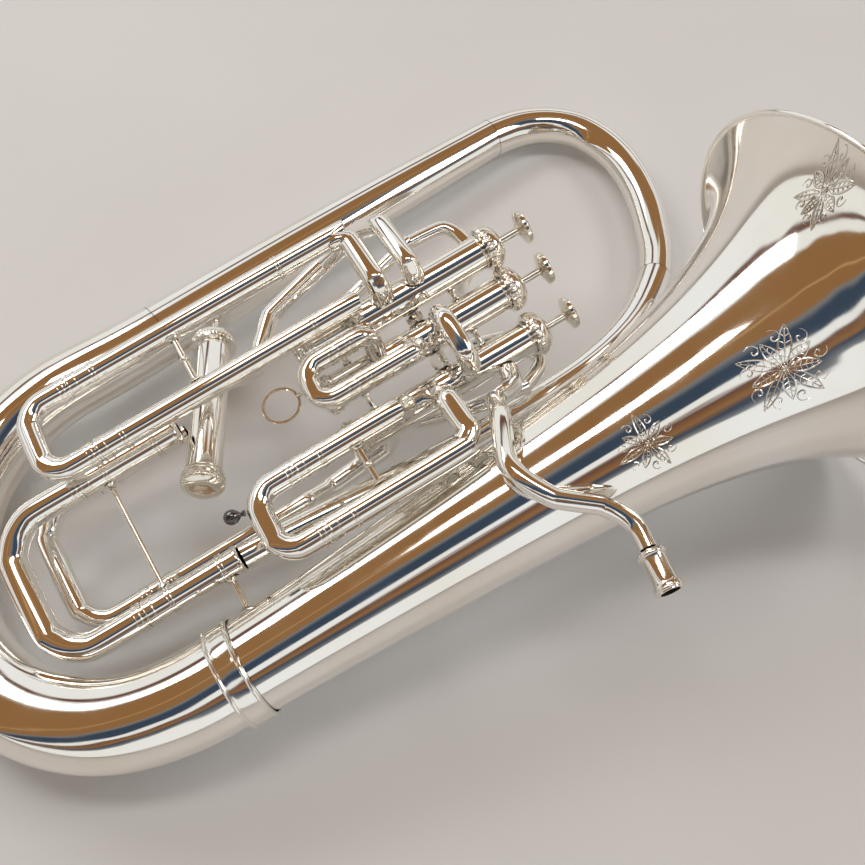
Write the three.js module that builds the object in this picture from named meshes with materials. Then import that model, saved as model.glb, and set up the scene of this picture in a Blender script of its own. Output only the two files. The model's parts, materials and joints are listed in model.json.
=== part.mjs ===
// Silver-plated compensating euphonium with three in-line piston valves and a side-action fourth valve.
// Everything is laid out in the instrument's own frame: the bell axis is the X axis with the rim near x = 0
// and the bottom bow at negative x, +Y points to the outer branch, +Z to the slide side. The whole
// instrument is then tilted so that it lies on its bell rim, bottom bow and top bow.
import * as THREE from 'three';

// ---- driving dimensions, millimetres ----
const REST_TILT = 9.5;            // degrees that the bell axis rises towards the rim as it lies
const WALL = 1.0;                 // sheet thickness of the large tubes
const SLEEVE_R = 8.45;            // outside radius of the valve slide sleeves
const MAIN_R = 10.2;              // outside radius of the main tuning slide sleeves
const SLIDE_WALL = 0.8;           // wall of sleeves and crooks
const FIT = 0.1;                  // clearance between a sliding leg and the flats of its sleeve
const CASING_R = 13.25;           // valve casing outside radius
const BORE_R = 12.2;              // valve casing bore radius
const CAP_R = 17.0;               // top cap radius
const VALVE_X = -352;             // end face of the bottom caps of valves 1 to 3
const VALVE_LEN = 171;            // cap face to cap face
const FOURTH_LEN = 148;
const VALVES = [
  { id: 1, y: 112, z: -15 },
  { id: 2, y: 145, z: 5 },
  { id: 3, y: 173, z: 25 },
];
const FOURTH_BASE = new THREE.Vector3(-457, 126, 13);
const FOURTH_DIR = new THREE.Vector3(63, 143, -36).normalize();
const JOINT_GAP = 0.25;           // half of the gap between two butted tubes
const SIDES = 8;

const silver = (rough) => new THREE.MeshStandardMaterial({ color: 0xe6e1d6, metalness: 1, roughness: rough });
const darkMetal = () => new THREE.MeshStandardMaterial({ color: 0x55524e, metalness: 1, roughness: 0.4 });
const steel = () => new THREE.MeshStandardMaterial({ color: 0x8f9092, metalness: 1, roughness: 0.35 });

const body = new THREE.Group();

function add(name, geometry, material = silver(0.12)) {
  const mesh = new THREE.Mesh(geometry, material);
  mesh.name = name;
  body.add(mesh);
  return mesh;
}

const P = (x, y, z) => new THREE.Vector3(x, y, z);

// Centreline of a bent tube: straight runs joined by round bends of the given radius.
function route(corners, bend, arcSteps = 3) {
  const line = [corners[0].clone()];
  for (let i = 1; i < corners.length - 1; i++) {
    const back = corners[i - 1].clone().sub(corners[i]);
    const ahead = corners[i + 1].clone().sub(corners[i]);
    const room = Math.min(back.length(), ahead.length()) * 0.49;
    back.normalize();
    ahead.normalize();
    const half = Math.acos(THREE.MathUtils.clamp(back.dot(ahead), -1, 1)) / 2;
    const cut = Math.min(bend / Math.tan(half), room);
    const radius = cut * Math.tan(half);
    const centre = back.clone().add(ahead).normalize().multiplyScalar(radius / Math.sin(half)).add(corners[i]);
    const from = corners[i].clone().addScaledVector(back, cut).sub(centre);
    const to = corners[i].clone().addScaledVector(ahead, cut).sub(centre);
    const sweep = from.angleTo(to);
    const axis = from.clone().cross(to).normalize();
    for (let k = 0; k <= arcSteps; k++) {
      line.push(from.clone().applyAxisAngle(axis, (sweep * k) / arcSteps).add(centre));
    }
  }
  line.push(corners[corners.length - 1].clone());
  return line;
}

// Hollow tube along a centreline. radiusAt(i, n) gives the outside radius of ring i of n. Each ring is
// square to the line, or to the given tangents.
function pipe(line, radiusAt, wall, sides = SIDES, tangents = null) {
  const count = line.length;
  const positions = [];
  let normal = null;
  const frames = line.map((point, i) => {
    const before = line[Math.max(i - 1, 0)];
    const after = line[Math.min(i + 1, count - 1)];
    const intoPoint = point.clone().sub(before).normalize();
    const outOfPoint = after.clone().sub(point).normalize();
    const tangent = tangents ? tangents[i] : intoPoint.add(outOfPoint).normalize();
    if (!normal) {
      normal = Math.abs(tangent.z) < 0.9 ? P(0, 0, 1) : P(0, 1, 0);
    }
    normal = normal.clone().addScaledVector(tangent, -normal.dot(tangent)).normalize();
    return { point, normal, side: tangent.clone().cross(normal) };
  });
  for (const shell of [0, wall]) {
    frames.forEach(({ point, normal: up, side }, i) => {
      const radius = radiusAt(i, count) - shell;
      for (let k = 0; k < sides; k++) {
        const angle = (2 * Math.PI * k) / sides;
        const spot = point.clone()
          .addScaledVector(up, radius * Math.cos(angle))
          .addScaledVector(side, radius * Math.sin(angle));
        positions.push(spot.x, spot.y, spot.z);
      }
    });
  }
  const index = [];
  const quad = (a, b, c, d) => index.push(a, b, c, a, c, d);
  const outer = (i, k) => i * sides + (k % sides);
  const inner = (i, k) => (count + i) * sides + (k % sides);
  for (let k = 0; k < sides; k++) {
    for (let i = 0; i < count - 1; i++) {
      quad(outer(i, k), outer(i, k + 1), outer(i + 1, k + 1), outer(i + 1, k));
      quad(inner(i, k), inner(i + 1, k), inner(i + 1, k + 1), inner(i, k + 1));
    }
    quad(outer(0, k), inner(0, k), inner(0, k + 1), outer(0, k + 1));
    quad(outer(count - 1, k), outer(count - 1, k + 1), inner(count - 1, k + 1), inner(count - 1, k));
  }
  const geometry = new THREE.BufferGeometry();
  geometry.setAttribute('position', new THREE.Float32BufferAttribute(positions, 3));
  geometry.setIndex(index);
  return geometry;
}

const even = (radius) => () => radius;

function lathe(points, sides = 12) {
  return new THREE.LatheGeometry(points.map(([r, z]) => new THREE.Vector2(r, z)), sides).rotateX(Math.PI / 2);
}

// Places a shape built along +Z so that it starts at `from` and runs along `dir`.
function aim(geometry, from, dir) {
  const turn = new THREE.Quaternion().setFromUnitVectors(P(0, 0, 1), dir.clone().normalize());
  return geometry.applyQuaternion(turn).translate(from.x, from.y, from.z);
}

// ---- the conical main bore: bell, bottom bow, outer branch, top bow, inner branch ----
const BELL_PROFILE = [
  [8, 150], [11, 143], [17, 132], [28, 117], [46, 101], [70, 87], [103, 74], [147, 62], [204, 52.4],
  [270, 45.6], [350, 40], [430, 35.8], [489.6, 33.3],
];
const BOW_CENTRE = P(-515, 145, 0);
const BOW_R = 145;
const BOW_DROP = 22;

function bell() {
  const line = BELL_PROFILE.map(([back]) => P(-back, 0, 0));
  add('bell', pipe(line, (i) => BELL_PROFILE[i][1], WALL, 20));
}

function mainBorePath() {
  const points = [P(-490, 0, 0)];
  for (let turn = 0; turn <= 180; turn += 20) {
    const angle = THREE.MathUtils.degToRad(turn);
    points.push(P(
      BOW_CENTRE.x - BOW_R * Math.sin(angle),
      BOW_CENTRE.y - BOW_R * Math.cos(angle),
      -BOW_DROP * (1 - Math.cos(angle)) / 2,
    ));
  }
  points.push(P(-470, 296, -32), P(-340, 322, -60), P(-200, 349, -90), P(-95, 368, -113));
  points.push(P(-40, 366, -125), P(-4, 342, -131), P(12, 300, -133), P(8, 250, -132), P(-9, 205, -129));
  points.push(P(-32, 165, -122), P(-62, 135, -111), P(-102, 111, -95), P(-160, 91, -75), P(-215, 82, -58));
  points.push(P(-299, 75, -38), P(-380, 72, -16), P(-425, 70.5, -2), P(-455, 70, 2));
  return new THREE.CatmullRomCurve3(points, false, 'centripetal');
}

const MAIN_BORE = mainBorePath();
const BORE_STEPS = 400;
const BORE_POINTS = MAIN_BORE.getSpacedPoints(BORE_STEPS);

// outside radius along the main bore, by fraction of its length
function boreRadius(fraction) {
  const stops = [[0, 33.3], [0.2, 29.5], [0.33, 26], [0.55, 18.5], [0.64, 16], [0.78, 12.5], [0.86, 10.8], [1, 10.2]];
  const next = stops.findIndex(([at]) => at >= fraction);
  const [x1, r1] = stops[Math.max(next, 1)];
  const [x0, r0] = stops[Math.max(next, 1) - 1];
  return r0 + ((r1 - r0) * (fraction - x0)) / (x1 - x0);
}

function boreSection(name, from, to, rings, sides) {
  const line = [];
  const radii = [];
  const tangents = [];
  for (let i = 0; i <= rings; i++) {
    const at = Math.round(BORE_STEPS * (from + ((to - from) * i) / rings));
    const before = BORE_POINTS[Math.max(at - 1, 0)];
    const after = BORE_POINTS[Math.min(at + 1, BORE_STEPS)];
    line.push(BORE_POINTS[at].clone());
    tangents.push(after.clone().sub(before).normalize());
    radii.push(boreRadius(at / BORE_STEPS));
  }
  line[0].addScaledVector(tangents[0], JOINT_GAP);
  line[rings].addScaledVector(tangents[rings], -JOINT_GAP);
  add(name, pipe(line, (i) => radii[i], WALL, sides, tangents));
}

function mainBore() {
  boreSection('bottom_bow', 0, 0.335, 13, 14);
  boreSection('outer_branch', 0.335, 0.5575, 2, 14);
  boreSection('top_bow', 0.5575, 0.7325, 10, 12);
  boreSection('inner_branch', 0.7325, 1, 7, 10);
}

// double collar where the bell meets the bottom bow
function bellCollar() {
  const collar = lathe([[34.4, 0], [36, 1.5], [36, 14], [34.6, 16], [34.4, 0]], 20);
  aim(collar, P(-498, 0, 0), P(1, 0, 0));
  add('bell_collar', collar);
}

// ---- piston valves ----
function valve(id, base, dir, length, buttonR) {
  const place = (geometry) => aim(geometry, base, dir);
  const pistonFoot = length - 103;
  const pistonTop = length - 23;
  add(`valve_casing_${id}`, place(lathe(
    [[BORE_R, 4.3], [CASING_R, 4.3], [CASING_R, length - 3.4], [BORE_R, length - 3.4], [BORE_R, 4.3]])));
  add(`bottom_cap_${id}`, place(lathe(
    [[0, 0], [10.5, 0], [15.2, 2.4], [15.2, 12], [13.6, 12], [13.6, 4], [0, 4]])));
  add(`top_cap_${id}`, place(lathe([[3.5, length - 3], [13.6, length - 3], [13.6, length - 13],
    [CAP_R, length - 12], [CAP_R, length - 5], [13, length], [6, length + 2], [3.5, length + 2],
    [3.5, length - 3]])));
  add(`piston_${id}`, place(lathe(
    [[0, pistonFoot], [11.9, pistonFoot], [11.9, pistonTop], [3, pistonTop], [3, length + 18.6], [0, length + 18.6]])),
    steel());
  add(`finger_button_${id}`, place(lathe(
    [[0, length + 19], [4.6, length + 19], [buttonR, length + 21.7], [buttonR, length + 24.2],
      [buttonR - 2, length + 25.2], [0, length + 25.2]])));
  add(`valve_spring_${id}`, place(coil(9.2, 0.9, 4, 5.4, pistonFoot - 1.4)), steel());
}

function coil(radius, wire, turns, low, high) {
  const steps = turns * 7;
  const line = [];
  for (let i = 0; i <= steps; i++) {
    const angle = (2 * Math.PI * turns * i) / steps;
    line.push(P(radius * Math.cos(angle), radius * Math.sin(angle), low + ((high - low) * i) / steps));
  }
  return solidTube(line, wire, 4);
}

// Solid round bar along a centreline.
function solidTube(line, radius, sides) {
  const geometry = pipe(line, even(radius), radius * 0.5, sides);
  const position = geometry.getAttribute('position');
  const keep = line.length * sides;
  const index = [];
  const source = geometry.getIndex().array;
  for (let i = 0; i < source.length; i += 3) {
    if (Math.max(source[i], source[i + 1], source[i + 2]) < keep) {
      index.push(source[i], source[i + 1], source[i + 2]);
    }
  }
  for (let k = 1; k < sides - 1; k++) {
    index.push(0, k + 1, k);
    const end = keep - sides;
    index.push(end, end + k, end + k + 1);
  }
  const solid = new THREE.BufferGeometry();
  solid.setAttribute('position', new THREE.Float32BufferAttribute(position.array.slice(0, keep * 3), 3));
  solid.setIndex(index);
  return solid;
}

function valves() {
  for (const { id, y, z } of VALVES) {
    valve(id, P(VALVE_X, y, z), P(1, 0, 0), VALVE_LEN, 12.8);
  }
  valve(4, FOURTH_BASE, FOURTH_DIR, FOURTH_LEN, 11);
}

// ---- tuning slides: two fixed sleeves and one crook whose legs run inside them ----
function slide({ name, upper, lower, mouth, crook, radius, upperEnd, lowerEnd, bend, insert }) {
  const legR = (radius - SLIDE_WALL) * Math.cos(Math.PI / SIDES) - FIT;
  const [uy, uz] = upper;
  const [ly, lz] = lower;
  const gap = 2 * JOINT_GAP;
  add(`${name}_sleeve_upper`, pipe(route([P(mouth, uy, uz), ...upperEnd], bend * 0.6), even(radius), SLIDE_WALL));
  add(`${name}_sleeve_lower`, pipe(route([P(mouth, ly, lz), ...lowerEnd], bend * 0.6), even(radius), SLIDE_WALL));
  const face = mouth - gap;
  const crookLine = route(
    [P(face, uy, uz), P(crook + radius, uy, uz), P(crook + radius, ly, lz), P(face, ly, lz)], bend, 4);
  const legIn = P(mouth + insert, uy, uz);
  const legOut = P(mouth + insert, ly, lz);
  const line = [legIn, P(face + 0.05, uy, uz), ...crookLine, P(face + 0.05, ly, lz), legOut];
  const last = line.length - 1;
  add(`${name}_slide`, pipe(line, (i) => (i < 2 || i > last - 2 ? legR : radius), SLIDE_WALL));
}

function slides() {
  slide({
    name: 'third_valve', upper: [229, 55], lower: [170, 55], mouth: -500, crook: -546, radius: SLEEVE_R,
    upperEnd: [P(-276, 229, 55), P(-276, 175, 55), P(-276, 173, 39.2)],
    lowerEnd: [P(-304, 170, 55), P(-304, 172, 39.2)], bend: 29, insert: 150,
  });
  slide({
    name: 'first_valve', upper: [84, 48], lower: [35, 48], mouth: -391, crook: -433, radius: SLEEVE_R,
    upperEnd: [P(-306, 84, 48), P(-306, 106, -2)],
    lowerEnd: [P(-280, 35, 48), P(-280, 76, 46), P(-280, 103.6, -3.6)], bend: 24, insert: 60,
  });
  slide({
    name: 'second_valve', upper: [150, 45], lower: [118, 45], mouth: -326, crook: -361, radius: 7.5,
    upperEnd: [P(-300, 150, 45), P(-300, 147, 19)],
    lowerEnd: [P(-276, 118, 45), P(-276, 137.2, 16.7)], bend: 15.8, insert: 14,
  });
  slide({
    name: 'main_tuning', upper: [175, 20], lower: [70, 2], mouth: -530, crook: -607, radius: MAIN_R,
    upperEnd: [P(-453, 175, 20)], lowerEnd: [P(-456.6, 70, 2)], bend: 44, insert: 50,
  });
  slide({
    name: 'fourth_valve', upper: [190, -15], lower: [94, -26], mouth: -528, crook: -588, radius: 7.9,
    upperEnd: [P(-452, 190, -15)],
    lowerEnd: [P(-402, 94, -26), P(-380, 104, -46), P(-322, 112, -52), P(-322, 112, -29.6)], bend: 36, insert: 44,
  });
}

// ---- fixed tubing ----
function leadpipe() {
  const line = route([P(-228, -82, 40), P(-225, -64, 41), P(-236, -46, 46), P(-262, -28, 57), P(-276, 2, 62),
    P(-257, 42, 47), P(-248, 68, 14), P(-226, 82, -10), P(-222, 96.4, -15)], 26, 2);
  add('leadpipe', pipe(line, (i, n) => 6.2 + (1.9 * i) / n, SLIDE_WALL));
  const receiver = lathe([[6.6, 0], [9.4, 0], [9.4, 5], [8.2, 6.5], [8.2, 22], [9, 23.5], [9, 27], [7.2, 28],
    [6.6, 28], [6.6, 0]], 20);
  add('mouthpiece_receiver', aim(receiver, P(-232.5, -111.5, 40), P(4.5, 29.2, 0)));
}

function tubing() {
  add('crossover_tube', pipe(route([P(-249, 173, 39.6), P(-249, 176, 54), P(-249, 222, 50), P(-262, 240, 32),
    P(-295, 250, 4), P(-352, 240, -7), P(-385, 201, -5.6), P(-403.5, 209.8, -8)], 13, 2), even(7.6), SLIDE_WALL));
  add('first_compensating_loop', pipe(route([P(-250, 140, 18.6), P(-250, 136, 50), P(-250, 92, 36),
    P(-250, 106.8, -1.8)], 13, 3), even(7.6), SLIDE_WALL));
  add('valve_exit_tube', pipe(route([P(-300, 112, -29.6), P(-300, 112, -43), P(-262, 98, -39), P(-214, 88, -36),
    P(-190, 100, -41), P(-194, 130, -38), P(-236, 138, -26), P(-240, 141.6, -10.4)], 11, 2), even(6.2), SLIDE_WALL));
  add('third_return_tube', pipe(route([P(-322, 182.2, 14), P(-322, 198, -6), P(-296, 226, -24), P(-229, 246, -24),
    P(-188, 247, -30), P(-182, 212, -33), P(-214, 184, -26), P(-214, 176, 10.8)], 14, 2), even(6.2), SLIDE_WALL));
  knuckle('valve_knuckle_1_2', VALVES[0], VALVES[1]);
  knuckle('valve_knuckle_2_3', VALVES[1], VALVES[2]);
}

// short tube that joins two neighbouring casings
function knuckle(name, one, other) {
  const from = P(-262, one.y, one.z);
  const to = P(-262, other.y, other.z);
  const reach = to.clone().sub(from).normalize().multiplyScalar(CASING_R + 0.4);
  add(name, pipe([from.add(reach), to.sub(reach)], even(6.4), SLIDE_WALL, 4));
}

// ---- braces, pull ring, pull knob ----
function brace(name, from, to, radius, footR) {
  const span = to.clone().sub(from);
  const length = span.length();
  const profile = [[0, 0], [footR, 0], [radius * 1.2, 2.4], [radius, 4], [radius, length - 4],
    [radius * 1.2, length - 2.4], [footR, length], [0, length]];
  add(name, aim(lathe(profile, 10), from, span));
}

function fittings() {
  brace('third_slide_brace', P(-420, 220.2, 55), P(-420, 178.8, 55), 2.4, 5);
  brace('first_slide_brace', P(-348, 75.2, 48), P(-348, 43.8, 48), 2.4, 5);
  brace('main_slide_brace', P(-512, 164.6, 18.2), P(-512, 80.6, 3.8), 1.7, 4.4);
  brace('bell_brace_main', P(-468, 59.4, 1.7), P(-468, 35.5, 1), 2.4, 5.5);
  brace('outer_branch_brace', P(-419, 234.8, 46.9), P(-419, 287.5, -17.4), 2, 4);
  const ring = new THREE.TorusGeometry(13, 1.1, 6, 20).translate(-377.9, 134, 45);
  add('pull_ring', ring);
  const knob = lathe([[0, 0], [2.4, 0], [1.6, 2.5], [2.6, 4.2], [4.6, 6.6], [5.2, 9.4], [4.4, 12.4], [2.4, 14.2],
    [0, 14.8]], 12);
  add('pull_knob', aim(knob, P(-433.4, 76, 48), P(-1, 0.25, 0)), darkMetal());
}

bell();
mainBore();
bellCollar();
valves();
slides();
leadpipe();
tubing();
fittings();

// Lay the instrument down: tilt it, then put the middle of its base at the origin.
const tilted = new THREE.Group();
tilted.rotation.y = -THREE.MathUtils.degToRad(REST_TILT);
tilted.add(body);
const euphonium = new THREE.Group();
euphonium.add(tilted);
euphonium.updateMatrixWorld(true);
const extent = new THREE.Box3().setFromObject(euphonium, true);
const middle = extent.getCenter(new THREE.Vector3());
tilted.position.set(-middle.x, -middle.y, -extent.min.z);
euphonium.updateMatrixWorld(true);

export default euphonium;
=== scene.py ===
import json
import math

import bmesh
import bpy
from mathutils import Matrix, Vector


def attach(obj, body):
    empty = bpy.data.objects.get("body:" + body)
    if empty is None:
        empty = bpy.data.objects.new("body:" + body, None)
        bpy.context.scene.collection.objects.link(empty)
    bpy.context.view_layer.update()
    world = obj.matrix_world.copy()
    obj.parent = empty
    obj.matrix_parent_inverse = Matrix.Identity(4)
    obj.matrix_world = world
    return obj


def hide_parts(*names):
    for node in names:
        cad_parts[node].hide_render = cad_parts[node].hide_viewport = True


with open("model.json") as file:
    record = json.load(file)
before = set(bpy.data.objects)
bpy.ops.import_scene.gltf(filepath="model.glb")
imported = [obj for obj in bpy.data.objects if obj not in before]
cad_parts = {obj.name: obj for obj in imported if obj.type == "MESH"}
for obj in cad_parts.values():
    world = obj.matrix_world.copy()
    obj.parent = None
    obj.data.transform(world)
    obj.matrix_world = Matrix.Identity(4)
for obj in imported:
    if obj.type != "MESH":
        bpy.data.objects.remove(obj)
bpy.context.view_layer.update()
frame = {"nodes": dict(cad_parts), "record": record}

# ---- the instrument's own frame, read from the bell rim mount ----
# X runs along the bell axis towards the rim, +Y to the outer branch, +Z to the slide side.
RIM_MOUNT = next(m for m in frame["record"]["mounts"] if m["name"] == "bell_rim_face")
X_AXIS = Vector(RIM_MOUNT["axis"]).normalized()
Y_AXIS = Vector((0, 1, 0))
Z_AXIS = X_AXIS.cross(Y_AXIS)
RIM_X, RIM_R = -8.0, 150.0                   # rim plane and rim radius, mm
ORIGIN = Vector(RIM_MOUNT["pos_m"]) - (RIM_X * X_AXIS + (RIM_R - 0.5) * Z_AXIS) / 1000

SEAM_ANGLE = math.radians(58)                # a base edge sharper than this stays a crisp edge
SHADE_ANGLE = math.radians(42)
MERGE_DISTANCE = 2e-6                        # metres; joins the split corners of the carried-over meshes
LIMIT_PASSES, LIMIT_GAIN = 5, 0.9            # how refine() pulls the limit surface back through the CAD corners
SINK = 0.25                                  # mm that trim reaches into the piece it sits on


def at(x, y, z):
    """A point given in the instrument's frame in millimetres, in the row frame in metres."""
    return ORIGIN + (X_AXIS * x + Y_AXIS * y + Z_AXIS * z) / 1000


def along(x, y, z):
    return (X_AXIS * x + Y_AXIS * y + Z_AXIS * z).normalized()


# ---- camera ----
CAMERA_AT = Vector((-0.1408, -0.3230, 0.7032))
CAMERA_TURN, CAMERA_PITCH = math.radians(30), math.radians(61.5)
FOCAL_IN_FRAMES = 955 / 865                  # focal length over image width


def make_camera():
    data = bpy.data.cameras.new("camera")
    data.sensor_width = 36
    data.lens = 36 * FOCAL_IN_FRAMES
    data.clip_start, data.clip_end = 0.02, 40
    camera = bpy.data.objects.new("camera", data)
    bpy.context.scene.collection.objects.link(camera)
    look = Vector((math.cos(CAMERA_PITCH) * math.sin(CAMERA_TURN),
                   math.cos(CAMERA_PITCH) * math.cos(CAMERA_TURN), -math.sin(CAMERA_PITCH)))
    camera.location = CAMERA_AT
    camera.rotation_mode = "QUATERNION"
    camera.rotation_quaternion = look.to_track_quat("-Z", "Y")
    bpy.context.scene.camera = camera


# ---- materials ----
def principled(name):
    material = bpy.data.materials.new(name)
    material.use_nodes = True
    return material, material.node_tree, material.node_tree.nodes["Principled BSDF"]


def noise(tree, scale, detail=4.0, stretch=None):
    coords = tree.nodes.new("ShaderNodeTexCoord")
    texture = tree.nodes.new("ShaderNodeTexNoise")
    texture.inputs["Scale"].default_value = scale
    texture.inputs["Detail"].default_value = detail
    source = coords.outputs["Object"]
    if stretch:
        mapping = tree.nodes.new("ShaderNodeMapping")
        mapping.inputs["Scale"].default_value = stretch
        tree.links.new(source, mapping.inputs["Vector"])
        source = mapping.outputs["Vector"]
    tree.links.new(source, texture.inputs["Vector"])
    return texture.outputs["Fac"]


def ramp(tree, factor, stops):
    node = tree.nodes.new("ShaderNodeValToRGB")
    elements = node.color_ramp.elements
    while len(elements) < len(stops):
        elements.new(0.5)
    for element, (place, colour) in zip(elements, stops):
        element.position = place
        element.color = (*colour, 1)
    tree.links.new(factor, node.inputs["Fac"])
    return node.outputs["Color"]


def grey(value):
    return (value, value, value)


def metal(name, clean, tarnished, smooth, worn, scratch=0.012, grain=900):
    """Polished plate: patchy tone, patchy gloss and fine wiping scratches."""
    material, tree, shader = principled(name)
    shader.inputs["Metallic"].default_value = 1.0
    patches = noise(tree, 9, 5)
    tree.links.new(ramp(tree, patches, [(0.35, tarnished), (0.62, clean)]), shader.inputs["Base Color"])
    smudges = noise(tree, 34, 6)
    tree.links.new(ramp(tree, smudges, [(0.4, grey(smooth)), (0.75, grey(worn))]), shader.inputs["Roughness"])
    bump = tree.nodes.new("ShaderNodeBump")
    bump.inputs["Strength"].default_value = scratch
    bump.inputs["Distance"].default_value = 0.0004
    tree.links.new(noise(tree, grain, 3, (1, 0.12, 0.12)), bump.inputs["Height"])
    tree.links.new(bump.outputs["Normal"], shader.inputs["Normal"])
    return material


def make_materials():
    return {
        "silver_plate": metal("silver_plate", (0.955, 0.94, 0.90), (0.91, 0.87, 0.79), 0.05, 0.12),
        "silver_trim": metal("silver_trim", (0.93, 0.91, 0.86), (0.84, 0.79, 0.69), 0.09, 0.18, 0.03),
        "piston_nickel": metal("piston_nickel", (0.80, 0.78, 0.74), (0.66, 0.63, 0.57), 0.14, 0.26, 0.08),
        "spring_steel": metal("spring_steel", (0.52, 0.52, 0.53), (0.38, 0.36, 0.34), 0.25, 0.4, 0.1),
        "dark_knob": metal("dark_knob", (0.17, 0.165, 0.16), (0.09, 0.08, 0.075), 0.12, 0.24, 0.03),
        "engraving": metal("engraving", (0.90, 0.88, 0.83), (0.66, 0.61, 0.53), 0.2, 0.36, 0.1),
    }


# ---- carried-over nodes, rounded ----
def quads_of(node):
    """The node's mesh with doubles merged, triangle pairs joined and its crisp edges creased."""
    base = bmesh.new()
    base.from_mesh(frame["nodes"][node].data)
    bmesh.ops.remove_doubles(base, verts=base.verts, dist=MERGE_DISTANCE)
    bmesh.ops.join_triangles(base, faces=[f for f in base.faces if len(f.verts) == 3],
                             angle_face_threshold=math.radians(35), angle_shape_threshold=math.radians(70))
    bmesh.ops.recalc_face_normals(base, faces=base.faces)
    crease = base.edges.layers.float.new("crease_edge")
    for edge in base.edges:
        if len(edge.link_faces) == 2 and edge.calc_face_angle(0) > SEAM_ANGLE:
            edge[crease] = 1.0
    return base


def rounded(mesh, levels):
    """The limit surface of a mesh at some subdivision level."""
    scratch = bpy.data.objects.new("scratch", mesh)
    bpy.context.scene.collection.objects.link(scratch)
    modifier = scratch.modifiers.new("round", "SUBSURF")
    modifier.levels = modifier.render_levels = levels
    modifier.use_limit_surface = True
    bpy.context.view_layer.update()
    result = bpy.data.meshes.new_from_object(scratch.evaluated_get(bpy.context.evaluated_depsgraph_get()))
    bpy.data.objects.remove(scratch)
    return result


def refine(node, levels):
    """A smooth copy of a CAD node that still passes through the CAD node's own corners."""
    base = quads_of(node)
    mesh = bpy.data.meshes.new(node + "_base")
    base.to_mesh(mesh)
    base.free()
    for stale in ("custom_normal", "sharp_face"):        # the CAD mesh's shading doesn't fit the new faces
        if stale in mesh.attributes:
            mesh.attributes.remove(mesh.attributes[stale])
    targets = [v.co.copy() for v in mesh.vertices]
    for _ in range(LIMIT_PASSES):
        round_now = rounded(mesh, 1)
        for vertex, target, now in zip(mesh.vertices, targets, round_now.vertices):
            vertex.co += (target - now.co) * LIMIT_GAIN
        bpy.data.meshes.remove(round_now)
    return rounded(mesh, levels)


def show(name, mesh, body, material):
    piece = bpy.data.objects.new(name, mesh)
    bpy.context.scene.collection.objects.link(piece)
    mesh.materials.clear()
    mesh.materials.append(material)
    for polygon in mesh.polygons:
        polygon.use_smooth = True
    mesh.set_sharp_from_angle(angle=SHADE_ANGLE)
    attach(piece, body)
    return piece


def make_smooth_nodes(materials):
    slots = {row["node"]: row["material_slot"] for row in frame["record"]["subparts"]}
    for body, members in frame["record"]["behaviour"]["bodies"].items():
        for node in members:
            levels = 3 if node in ("bell", "bottom_bow") else 2
            piece = show(node + "_smooth", refine(node, levels), body, materials[slots[node]])
            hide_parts(node)


# ---- turned detail ----
def turned(name, profile, start, direction, body, material, segments=48, ripple=(0, 0)):
    """A turned ring or knob. profile lists (radius, distance along direction) in mm and closes on itself;
    ripple is (count, depth in mm) for knurled edges."""
    direction = direction.normalized()
    across = direction.orthogonal().normalized()
    beside = direction.cross(across)
    count, depth = ripple
    verts, faces = [], []
    for k in range(segments):
        angle = 2 * math.pi * k / segments
        spoke = across * math.cos(angle) + beside * math.sin(angle)
        swell = depth * math.cos(count * angle) if count else 0
        verts += [start + (spoke * (r + swell) + direction * h) / 1000 for r, h in profile]
    size = len(profile)
    for k in range(segments):
        here, there = k * size, (k + 1) % segments * size
        for i in range(size):
            j = (i + 1) % size
            faces.append((here + i, there + i, there + j, here + j))
    mesh = bpy.data.meshes.new(name)
    mesh.from_pydata(verts, [], faces)
    clean = bmesh.new()
    clean.from_mesh(mesh)
    bmesh.ops.recalc_face_normals(clean, faces=clean.faces)
    clean.to_mesh(mesh)
    clean.free()
    return show(name, mesh, body, material)


def bead_profile(inner, outer, low, high, steps=6):
    """A ring section with a rounded outer edge."""
    middle, half = (low + high) / 2, (high - low) / 2
    arc = [(inner + (outer - inner) * math.sin(math.pi * k / steps), middle - half * math.cos(math.pi * k / steps))
           for k in range(steps + 1)]
    return arc + [(inner - SINK, high), (inner - SINK, low)]


def ferrule(name, spot, radius, length, body, materials):
    """A slip ferrule: a thin band between two beads, round a tube that runs along X."""
    low, high, bead = -length / 2, length / 2, 1.3
    profile = []
    for centre in (low + bead / 2, high - bead / 2):
        profile += [(radius + 0.35 + 0.55 * math.sin(math.pi * k / 4), centre - bead / 2 * math.cos(math.pi * k / 4))
                    for k in range(5)]
    profile += [(radius - SINK, high), (radius - SINK, low)]
    turned(name, profile, spot, X_AXIS, body, materials["silver_trim"])


# slide: upper leg (y, z), lower leg (y, z), mouth x, sleeve radius, places of ferrules along the sleeves
SLIDES = {
    "third_valve": ((229, 55), (170, 55), -500, 8.45, (-480, -330)),
    "first_valve": ((84, 48), (35, 48), -391, 8.45, (-372,)),
    "second_valve": ((150, 45), (118, 45), -326, 7.5, (-314,)),
    "main_tuning": ((175, 20), (70, 2), -530, 10.2, (-510, -470)),
    "fourth_valve": ((190, -15), (94, -26), -528, 7.9, (-512,)),
}


def make_ferrules(materials):
    for slide, (upper, lower, mouth, radius, places) in SLIDES.items():
        for leg, (y, z) in (("upper", upper), ("lower", lower)):
            ferrule(f"{slide}_mouth_{leg}", at(mouth + 4.2, y, z), radius, 7, "frame", materials)
            ferrule(f"{slide}_crook_{leg}", at(mouth - 4.6, y, z), radius, 5, slide + "_slide", materials)
            for k, place in enumerate(places):
                ferrule(f"{slide}_band_{leg}_{k}", at(place, y, z), radius, 4, "frame", materials)


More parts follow.
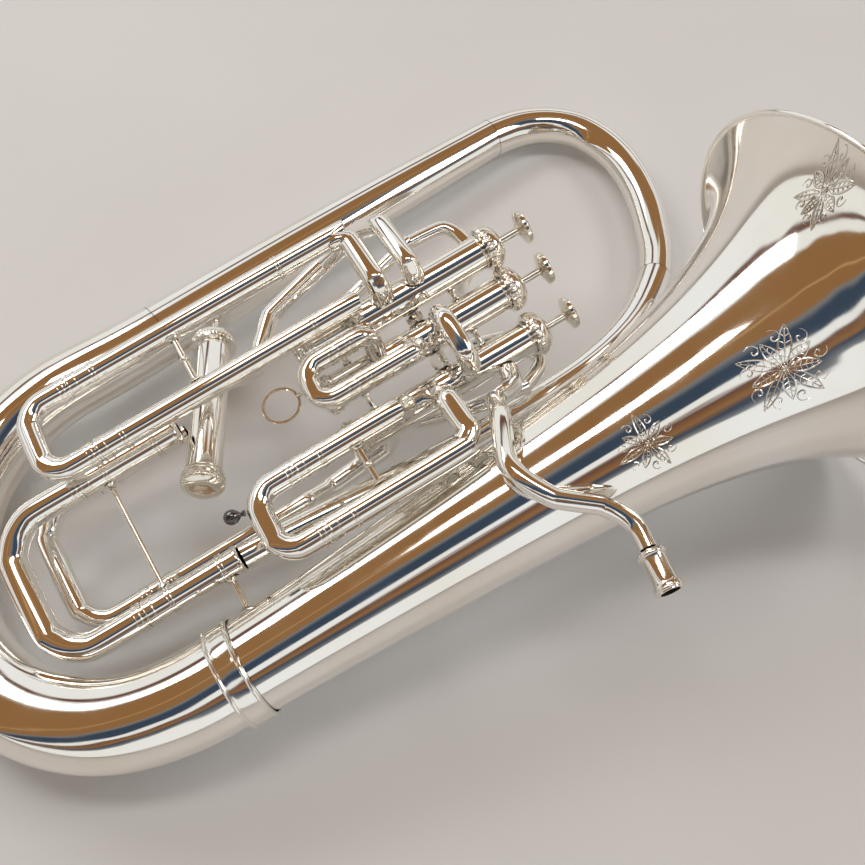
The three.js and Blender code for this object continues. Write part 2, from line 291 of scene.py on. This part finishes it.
def make_sleeve_ends(materials):
    """Tapered rings that close the main slide's sleeves down to the thinner tubes behind them."""
    upper, lower, _, radius, _ = SLIDES["main_tuning"]
    profile = [(radius + 0.3, -3), (radius + 0.6, -1.6), (radius + 0.3, -0.2), (radius * 0.85, 1.2),
               (radius * 0.6, 2.2), (radius * 0.5, 2.2), (radius * 0.5, 0.2), (radius - 0.4, 0.2), (radius - 0.4, -3)]
    for leg, (y, z) in (("upper", upper), ("lower", lower)):
        vertices = frame["nodes"]["main_tuning_sleeve_" + leg].data.vertices
        end = max((v.co - ORIGIN).dot(X_AXIS) for v in vertices) * 1000
        turned(f"main_tuning_end_{leg}", profile, at(end, y, z), X_AXIS, "frame", materials["silver_trim"],
               64)


# ---- valves ----
VALVE_FOOT_X, VALVE_LENGTH, BUTTON_R, CASING_R = -352, 171, 12.8, 13.25
VALVE_ROWS = [(112, -15), (145, 5), (173, 25)]          # (y, z) of valves 1 to 3
# valve number: foot, direction, length, button radius
VALVES = {
    number: (at(VALVE_FOOT_X, y, z), X_AXIS, VALVE_LENGTH, BUTTON_R)
    for number, (y, z) in enumerate(VALVE_ROWS, 1)
}
VALVES[4] = (at(-457, 126, 13), along(63, 143, -36), 148, 11.0)


def make_valve_trim(materials):
    trim = materials["silver_trim"]
    for number, (foot, way, length, button) in VALVES.items():
        def ring(name, profile, body="frame", ripple=(0, 0), segments=72):
            turned(f"{name}_{number}", profile, foot, way, body, trim, segments, ripple)
        ring("top_cap_knurl", bead_profile(16.6, 17.5, length - 11.6, length - 5.2), ripple=(40, 0.22), segments=240)
        ring("top_cap_step", bead_profile(10.5, 11.6, length - 0.6, length + 1.6))
        ring("stem_collar", bead_profile(3.4, 6.2, length + 0.9, length + 2.1))
        ring("bottom_cap_knurl", bead_profile(14.9, 15.8, 3.2, 7.4), ripple=(36, 0.2), segments=216)
        ring("bottom_cap_bead", bead_profile(15.0, 15.9, 9.4, 11.4))
        ring("casing_bead", bead_profile(13.1, 14.2, 13.2, 15.4))
        ring("casing_top_bead", bead_profile(13.1, 14.2, length - 15.6, length - 13.4))
        ring("button_rim", bead_profile(button - 2.2, button - 0.6, length + 24.4, length + 25.8), f"valve_{number}")
        ring("button_boss", bead_profile(2.8, 4.9, length + 18.3, length + 19.2), f"valve_{number}")


# ---- bell trim and engraving ----
def bell_radius_table():
    """Outside radius of the CAD bell against distance behind the rim, mm."""
    rings = {}
    for vertex in frame["nodes"]["bell"].data.vertices:
        local = (vertex.co - ORIGIN) * 1000
        x, y, z = local.dot(X_AXIS), local.dot(Y_AXIS), local.dot(Z_AXIS)
        key = round(x, 1)
        rings[key] = max(rings.get(key, 0), math.hypot(y, z))
    return sorted(rings.items(), reverse=True)


def radius_at(table, x):
    for (x1, r1), (x0, r0) in zip(table, table[1:]):
        if x0 <= x <= x1:
            return r0 + (r1 - r0) * (x - x0) / max(x1 - x0, 1e-6)
    return table[-1][1]


class Engraver:
    """Collects shallow raised burrs that follow the bell's outside."""

    def __init__(self, table, x, turn):
        self.table, self.x, self.turn = table, x, turn
        self.verts, self.faces = [], []

    def spot(self, u, v, lift):
        x = self.x + u
        radius = radius_at(self.table, x)
        angle = self.turn + v / radius
        reach = radius + lift
        return at(x, -reach * math.sin(angle), reach * math.cos(angle))

    def stroke(self, points, width):
        first = len(self.verts)
        last = len(points) - 1
        for i, (u, v) in enumerate(points):
            before, after = points[max(i - 1, 0)], points[min(i + 1, last)]
            du, dv = after[0] - before[0], after[1] - before[1]
            size = math.hypot(du, dv) or 1
            half = width * (0.25 + math.sin(math.pi * i / last)) / 2
            su, sv = -dv / size * half, du / size * half
            self.verts += [self.spot(u + su, v + sv, -0.1), self.spot(u, v, 0.2), self.spot(u - su, v - sv, -0.1)]
        for i in range(last):
            a, b = first + 3 * i, first + 3 * i + 3
            self.faces += [(a, a + 1, b + 1, b), (a + 1, a + 2, b + 2, b + 1), (a + 2, a, b, b + 2)]
        self.faces += [(first, first + 2, first + 1), (first + 3 * last, first + 3 * last + 1, first + 3 * last + 2)]

    def leaf(self, base, way, length, fat):
        steps = 12
        du, dv = math.cos(way), math.sin(way)
        for side in (-1, 1):
            edge = []
            for i in range(steps + 1):
                t = i / steps
                bulge = side * fat * math.sin(math.pi * t) ** 0.8 * (1 - 0.35 * t)
                edge.append((base[0] + du * length * t - dv * bulge, base[1] + dv * length * t + du * bulge))
            self.stroke(edge, 0.9)
            for i in range(2, steps - 1, 2):
                t = i / steps
                root = (base[0] + du * length * t, base[1] + dv * length * t)
                tip = edge[i + 1]
                self.stroke([root, ((root[0] + tip[0]) / 2, (root[1] + tip[1]) / 2), tip], 0.5)
        self.stroke([(base[0] + du * length * t / 6, base[1] + dv * length * t / 6) for t in range(7)], 0.7)

    def scroll(self, start, way, size, turns):
        points = []
        for i in range(26):
            t = i / 25
            angle = way + turns * 2 * math.pi * t
            reach = size * (1 - t) ** 1.2
            points.append((start[0] + reach * math.cos(angle), start[1] + reach * math.sin(angle)))
        self.stroke(points, 0.8)


def spray(name, table, x, turn, size, leaves, materials):
    tool = Engraver(table, x, turn)
    for k in range(leaves):
        way = 2 * math.pi * k / leaves + 0.3
        tool.leaf((2.5 * math.cos(way), 2.5 * math.sin(way)), way, size * (1 if k % 2 else 0.72), size * 0.17)
        tool.scroll((size * 0.8 * math.cos(way + 0.4), size * 0.8 * math.sin(way + 0.4)), way, size * 0.2, 1.2)
    for k in range(3):
        tool.scroll((0, 0), k * 2.1, 2.6, 0.8)
    mesh = bpy.data.meshes.new(name)
    mesh.from_pydata(tool.verts, [], tool.faces)
    show(name, mesh, "frame", materials["engraving"])


def make_bell_trim(materials):
    plate = materials["silver_plate"]
    wire = [(RIM_R - 1.6 + 2.1 * math.cos(a), 2.1 * math.sin(a)) for a in (2 * math.pi * k / 12 for k in range(12))]
    turned("bell_rim_wire", wire, at(RIM_X - 0.6, 0, 0), X_AXIS, "frame", plate, 160)
    for k, x in enumerate((-498, -483)):
        turned(f"collar_bead_{k}", bead_profile(35.2, 37.6, -1.6, 1.6), at(x, 0, 0), X_AXIS, "frame",
               materials["silver_trim"], 96)
    table = bell_radius_table()
    spray("engraved_spray_large", table, -97, math.radians(30), 26, 9, materials)
    spray("engraved_spray_small", table, -190, math.radians(30), 19, 7, materials)
    spray("engraved_spray_rim", table, -26, math.radians(-14), 16, 8, materials)


# ---- small fittings ----
POST_HEIGHTS = {"high": 124, "low": 30}                 # above the valves' foot, mm


def make_valve_posts(materials):
    """Turned posts that tie neighbouring casings together, near the top and the bottom."""
    for pair, (here, there) in enumerate(zip(VALVE_ROWS, VALVE_ROWS[1:]), 1):
        way = Vector((0, there[0] - here[0], there[1] - here[1]))
        span, way = way.length, way.normalized()
        gap = span - 2 * CASING_R
        profile = [(3.6, 0), (3.6, 1.2), (2.2, 2.2), (1.9, gap / 2 - 1), (2.9, gap / 2), (1.9, gap / 2 + 1),
                   (2.2, gap - 2.2), (3.6, gap - 1.2), (3.6, gap), (0.2, gap), (0.2, 0)]
        for level, height in POST_HEIGHTS.items():
            foot = at(VALVE_FOOT_X + height, here[0] + way.y * CASING_R, here[1] + way.z * CASING_R)
            turned(f"valve_post_{pair}_{level}", profile, foot, along(0, way.y, way.z), "frame",
                   materials["silver_trim"], 32)


def make_fittings(materials):
    trim = materials["silver_trim"]
    turned("pull_ring_lug", bead_profile(0.6, 2.4, -1.2, 1.2), at(-363.6, 134, 45), Y_AXIS,
           "second_valve_slide", trim, 24)
    turned("pull_ring_stalk", [(1.2, 0), (1.0, 2.2), (0.2, 2.2), (0.2, 0)], at(-360.6, 134, 45), -X_AXIS,
           "second_valve_slide", trim, 20)
    for level, profile in (("low", bead_profile(9.2, 10.2, 0.6, 3.0)), ("high", bead_profile(8.8, 9.9, 23.6, 26.4))):
        turned("receiver_ring_" + level, profile, at(-232.5, -111.5, 40), along(4.5, 29.2, 0), "frame", trim,
               48)
    for name, spot, reach in (("post_foot_third", at(-420, 220.4, 55), 41.8),
                              ("post_foot_first", at(-348, 75.4, 48), 31.8)):
        for part, profile in (("a", bead_profile(4.4, 5.8, -0.4, 1.0)),
                              ("b", bead_profile(4.4, 5.8, reach - 1.0, reach + 0.4)),
                              ("knop", bead_profile(2.2, 4.0, reach / 2 - 2, reach / 2 + 2))):
            turned(f"{name}_{part}", profile, spot, -Y_AXIS, "frame", trim, 32)


# ---- floor and light ----
def make_floor():
    bpy.ops.mesh.primitive_plane_add(size=14, location=(0, 0, -0.0012))
    floor = bpy.context.object
    floor.name = "floor"
    material, tree, shader = principled("pale_floor")
    tree.links.new(ramp(tree, noise(tree, 3, 3), [(0.3, (0.80, 0.80, 0.79)), (0.7, (0.84, 0.84, 0.83))]),
                   shader.inputs["Base Color"])
    shader.inputs["Roughness"].default_value = 0.75
    floor.data.materials.append(material)


def make_world():
    """A white room with a warm wooden ceiling and dark blue shapes in it, banded round the X axis."""
    world = bpy.data.worlds.new("room")
    bpy.context.scene.world = world
    world.use_nodes = True
    tree = world.node_tree
    background = tree.nodes["Background"]
    coords = tree.nodes.new("ShaderNodeTexCoord")
    split = tree.nodes.new("ShaderNodeSeparateXYZ")
    tree.links.new(coords.outputs["Generated"], split.inputs[0])
    turn = tree.nodes.new("ShaderNodeMath")
    turn.operation = "ARCTAN2"
    tree.links.new(split.outputs["Z"], turn.inputs[0])
    tree.links.new(split.outputs["Y"], turn.inputs[1])
    wobble = tree.nodes.new("ShaderNodeTexNoise")
    wobble.inputs["Scale"].default_value = 2.3
    wobble.inputs["Detail"].default_value = 2
    tree.links.new(coords.outputs["Generated"], wobble.inputs["Vector"])
    shifted = tree.nodes.new("ShaderNodeMath")
    shifted.operation = "MULTIPLY_ADD"
    shifted.inputs[1].default_value = 0.42
    tree.links.new(wobble.outputs["Fac"], shifted.inputs[0])
    tree.links.new(turn.outputs[0], shifted.inputs[2])
    part = tree.nodes.new("ShaderNodeMath")
    part.operation = "MULTIPLY_ADD"
    part.inputs[1].default_value = 1 / math.pi
    part.inputs[2].default_value = -0.21 / math.pi
    tree.links.new(shifted.outputs[0], part.inputs[0])
    white, wood, rust = (1.05, 1.06, 1.05), (0.34, 0.175, 0.07), (0.17, 0.08, 0.055)
    navy, slate, sheen = (0.05, 0.075, 0.12), (0.24, 0.25, 0.26), (0.62, 0.38, 0.18)
    bands = [(0.0, white), (0.15, white), (0.165, rust), (0.19, rust), (0.2, white), (0.27, white), (0.285, wood),
             (0.44, wood), (0.45, sheen), (0.46, wood), (0.53, wood), (0.545, slate), (0.58, navy), (0.66, navy),
             (0.67, white), (0.71, white), (0.72, rust), (0.78, wood), (0.80, navy), (0.85, slate), (0.86, white)]
    tree.links.new(ramp(tree, part.outputs[0], bands), background.inputs["Color"])
    background.inputs["Strength"].default_value = 0.8


def softbox(name, spot, target, size, power):
    data = bpy.data.lights.new(name, "AREA")
    data.shape = "RECTANGLE"
    data.size, data.size_y = size
    data.energy = power
    light = bpy.data.objects.new(name, data)
    bpy.context.scene.collection.objects.link(light)
    light.location = spot
    light.rotation_mode = "QUATERNION"
    light.rotation_quaternion = (Vector(target) - Vector(spot)).to_track_quat("-Z", "Y")


make_camera()
make_world()
make_floor()
softbox("window_back", (-0.5, 1.5, 1.5), (0, 0, 0.1), (1.2, 0.5), 9)
softbox("window_right", (1.6, -0.6, 1.6), (0, 0, 0.1), (0.7, 0.7), 8)
softbox("ceiling_panel", (0.1, 0.2, 2.4), (0, 0, 0), (1.6, 0.35), 10)
MATERIALS = make_materials()
make_smooth_nodes(MATERIALS)
make_ferrules(MATERIALS)
make_sleeve_ends(MATERIALS)
make_valve_trim(MATERIALS)
make_bell_trim(MATERIALS)
make_valve_posts(MATERIALS)
make_fittings(MATERIALS)
bpy.context.scene.view_settings.view_transform = "Standard"
